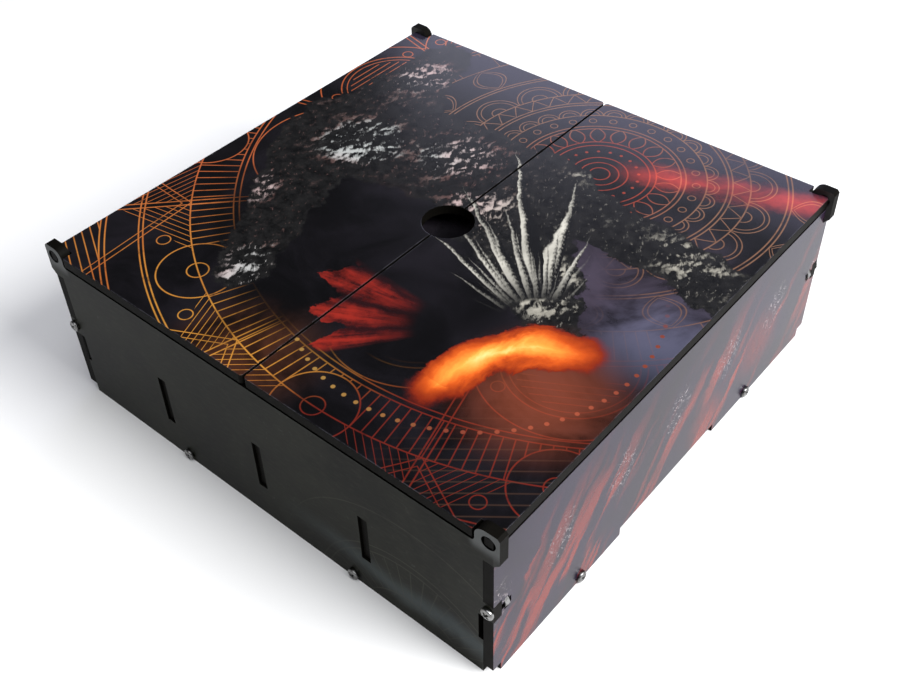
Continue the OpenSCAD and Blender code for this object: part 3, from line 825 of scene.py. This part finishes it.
def floor_material():
    """A plain pale paper floor, lit from below far from the object so that it stays pale to its end."""
    made, tree, shader, (x, y, _) = material("pale_floor")
    tone = noise(tree, joined(tree, x, y), 400.0, 2.0)
    colour = mixed(tree, tone, (0.80, 0.80, 0.80), (0.84, 0.84, 0.84))
    tree.links.new(colour, shader.inputs["Base Color"])
    shader.inputs["Roughness"].default_value = 0.9
    shader.inputs["Emission Color"].default_value = (1.0, 1.0, 1.0, 1.0)
    plug(tree, shader.inputs["Emission Strength"], hypot(x, y).ramp(500.0, 1600.0))
    return made


REACH = 4  # half the floor's width, in metres
floor_mesh = bpy.data.meshes.new("floor")
floor_mesh.from_pydata([(-REACH, -REACH, 0), (REACH, -REACH, 0), (REACH, REACH, 0), (-REACH, REACH, 0)],
                       [], [(0, 1, 2, 3)])
floor_mesh.materials.append(floor_material())
floor = bpy.data.objects.new("floor", floor_mesh)
bpy.context.scene.collection.objects.link(floor)


def softbox(name, at, target, size, power, colour=(1, 1, 1)):
    """A rectangular area light at a place, facing a target. Sizes are metres and power is watts."""
    data = bpy.data.lights.new(name, "AREA")
    data.shape = "RECTANGLE"
    data.size, data.size_y = size
    data.energy = power
    data.color = colour
    lamp = bpy.data.objects.new(name, data)
    lamp.location = at
    lamp.rotation_mode = "QUATERNION"
    lamp.rotation_quaternion = (Vector(target) - Vector(at)).to_track_quat("-Z", "Y")
    lamp.visible_camera = False
    bpy.context.scene.collection.objects.link(lamp)


softbox("key", (1.22, 0.30, 1.08), (0, 0, 0.03), (0.9, 0.9), 52.0)
softbox("overhead", (0.40, -0.42, 1.9), (0, 0, 0), (1.5, 1.5), 23.5, (0.97, 0.98, 1.0))
softbox("back_card", (-0.32, 1.12, 0.42), (0, 0, 0.07), (1.15, 0.72), 5.6, (0.76, 0.78, 1.0))

world = bpy.data.worlds.new("studio")
world.use_nodes = True
sky = world.node_tree
backdrop = sky.nodes["Background"]  # the white that is seen behind the object
backdrop.inputs["Color"].default_value = (1.0, 1.0, 1.0, 1.0)
fill = sky.nodes.new("ShaderNodeBackground")  # the weak cool light that falls on it
fill.inputs["Color"].default_value = (0.90, 0.94, 1.0, 1.0)
fill.inputs["Strength"].default_value = 0.075
pick = sky.nodes.new("ShaderNodeMixShader")
sky.links.new(sky.nodes.new("ShaderNodeLightPath").outputs["Is Camera Ray"], pick.inputs[0])
sky.links.new(fill.outputs[0], pick.inputs[1])
sky.links.new(backdrop.outputs[0], pick.inputs[2])
sky.links.new(pick.outputs[0], sky.nodes["World Output"].inputs["Surface"])
bpy.context.scene.world = world


# ---------------------------------------------------------------- camera

AZIMUTH, ELEVATION, ROLL = math.radians(41.20), math.radians(42.12), math.radians(-1.79)
DISTANCE, AIM = 0.4582, (0.00146, -0.00354, 0.0312)
back = Vector((math.sin(AZIMUTH) * math.cos(ELEVATION),
               -math.cos(AZIMUTH) * math.cos(ELEVATION),
               math.sin(ELEVATION)))
side = (-back).cross(Vector((0, 0, 1))).normalized()
rise = side.cross(-back)
across = side * math.cos(ROLL) + rise * math.sin(ROLL)
upward = rise * math.cos(ROLL) - side * math.sin(ROLL)
lens = bpy.data.cameras.new("camera")
lens.lens = 46.48
lens.sensor_width = 36.0
lens.shift_x = 0.0029
lens.shift_y = -0.0379
lens.clip_start = 0.01
camera = bpy.data.objects.new("camera", lens)
turned_to_aim = Matrix((across, upward, back)).transposed().to_4x4()
camera.matrix_world = Matrix.Translation(Vector(AIM) + back * DISTANCE) @ turned_to_aim
bpy.context.scene.collection.objects.link(camera)
bpy.context.scene.camera = camera
bpy.context.scene.view_settings.view_transform = "Standard"
